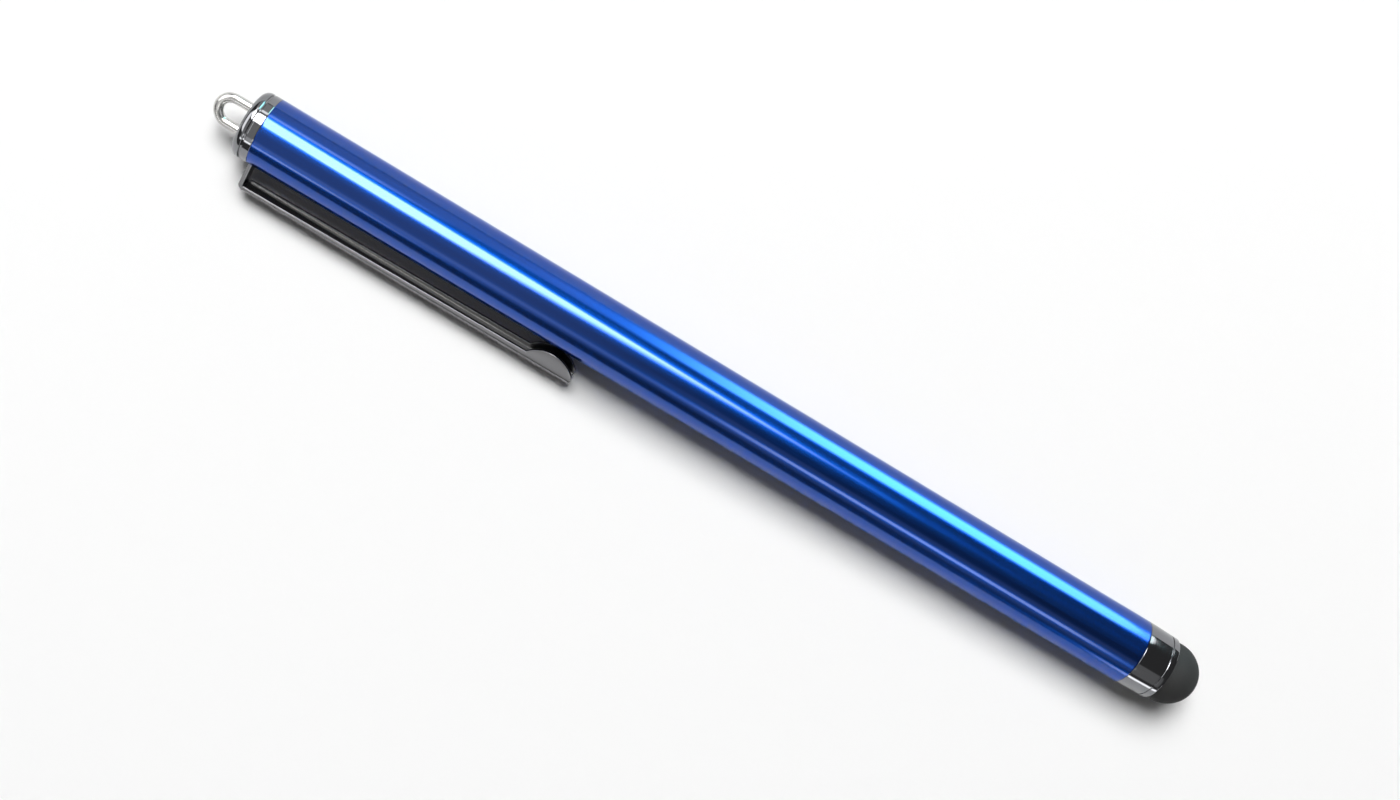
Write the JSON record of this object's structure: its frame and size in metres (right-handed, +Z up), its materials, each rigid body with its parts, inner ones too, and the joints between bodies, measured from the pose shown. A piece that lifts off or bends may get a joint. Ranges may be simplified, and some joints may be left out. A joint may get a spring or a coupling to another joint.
{
  "type": "touch stylus",
  "caption": "Slim touch stylus lying on its side: glossy blue tube with a bright rear cap and lanyard loop, sprung pocket clip, front ferrule and soft rubber touch dome.",
  "frame": {"origin": "middle of the pen's outline on the floor it lies on", "axes": "+X along the barrel toward the rubber nib, +Z up, clip toward -Y and dipping to the floor"},
  "size_m": [0.113, 0.0096, 0.007],
  "materials": {
    "blue_anodised": "gloss blue anodised",
    "bright_plate": "polished plate",
    "dark_plate": "dark polished plate",
    "turned_brass": "as turned",
    "soft_rubber": "matte conductive silicone"
  },
  "bodies": {
    "barrel": {"barrel_tube": "blue_anodised", "rear_cap": "bright_plate", "lanyard_loop": "bright_plate", "rear_bushing": "turned_brass", "clip_tang": "dark_plate", "front_ferrule": "bright_plate", "nib_core": "turned_brass"},
    "clip": {"clip_arm": "dark_plate"},
    "nib": {"nib_dome": "soft_rubber"}
  },
  "joints": [
    {"name": "clip_flex", "type": "hinge", "parent": "barrel", "child": "clip", "pos_m": [-0.05017, -0.00368, 0.00126], "axis": [0, 0.4107, -0.9118], "range_deg": [-1, 4.5], "stiffness_Nm_per_rad": 1.3},
    {"name": "nib_press", "type": "slide", "parent": "barrel", "child": "nib", "axis": [-1, 0, 0], "range_m": [0, 0.0006], "stiffness_N_per_m": 1000}
  ]
}
